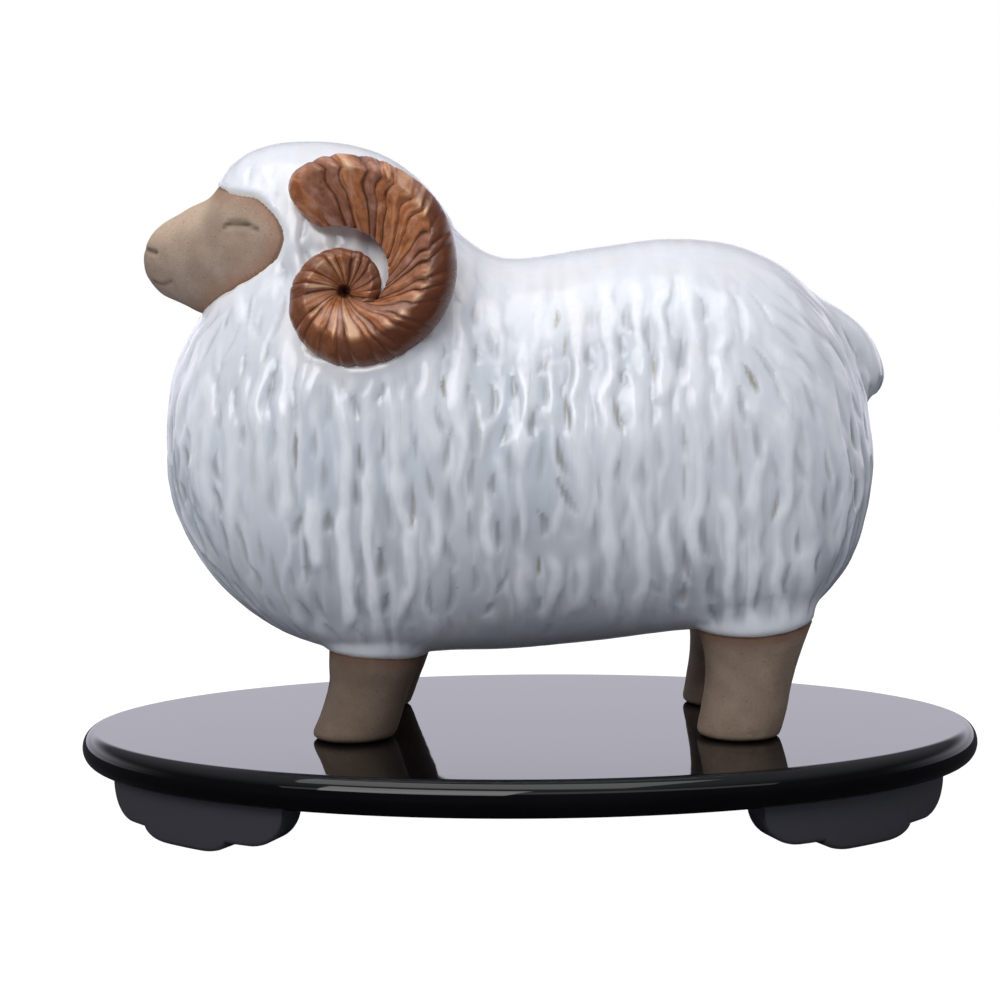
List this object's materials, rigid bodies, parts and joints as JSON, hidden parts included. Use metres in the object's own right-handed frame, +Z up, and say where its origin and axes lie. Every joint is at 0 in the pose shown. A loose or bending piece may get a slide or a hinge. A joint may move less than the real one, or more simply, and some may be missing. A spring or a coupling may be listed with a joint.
{
  "type": "ceramic ram zodiac figure on an oval lacquered stand",
  "caption": "Standing glazed ceramic ram with coiled horns and stroked fleece, for display on its low oval black lacquered stand with cloud-shaped bracket feet.",
  "frame": {"origin": "on the table under the middle of the oval stand", "axes": "+Z up, X along the stand's long side with the ram looking towards -X, +Y towards its right side"},
  "size_m": [0.27, 0.171, 0.2008],
  "materials": {
    "white_glaze": "gloss white to pale blue-grey glaze, thinner and greyer in the strokes of the fleece",
    "horn_glaze": "gloss caramel to dark reddish brown glaze, thin and tan on the ridges",
    "bare_clay": "unglazed matte brown-grey stoneware",
    "black_lacquer": "mirror gloss black lacquer on wood"
  },
  "bodies": {
    "root": {"sheep": "white_glaze", "stand_board": "black_lacquer", "stand_foot_front_left": "black_lacquer", "stand_foot_front_right": "black_lacquer", "stand_foot_back_left": "black_lacquer", "stand_foot_back_right": "black_lacquer"}
  },
  "joints": []
}
